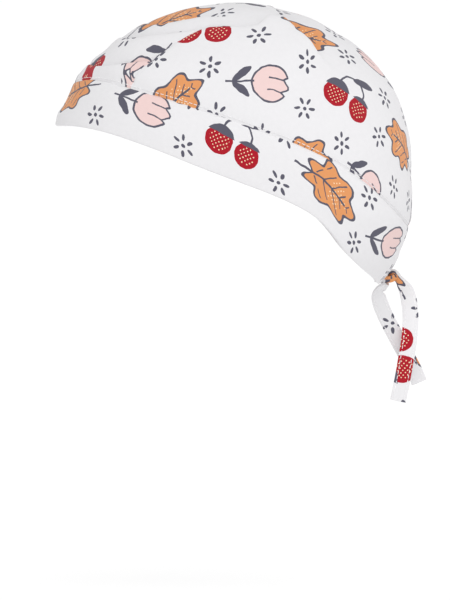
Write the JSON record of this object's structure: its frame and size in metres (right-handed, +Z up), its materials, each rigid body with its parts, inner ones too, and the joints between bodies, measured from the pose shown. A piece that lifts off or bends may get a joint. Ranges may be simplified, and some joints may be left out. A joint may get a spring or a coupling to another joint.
{
  "type": "bandana cap",
  "caption": "Printed cotton bandana cap with a draped, folded crown on a wide band that slopes to the nape, where its ends narrow into short ties hooked in a half knot.",
  "frame": {"origin": "centre of the head hollow, level with the widest part of the head and half-way between brow and back", "axes": "+Z up, -Y towards the brow, +X towards the wearer's left"},
  "size_m": [0.1584, 0.2092, 0.2255],
  "materials": {
    "printed_cotton": "plain-woven white cotton, matt, with a small multicoloured print"
  },
  "bodies": {
    "root": {"crown": "printed_cotton", "band": "printed_cotton", "tie_left": "printed_cotton", "tie_right": "printed_cotton"}
  },
  "joints": []
}
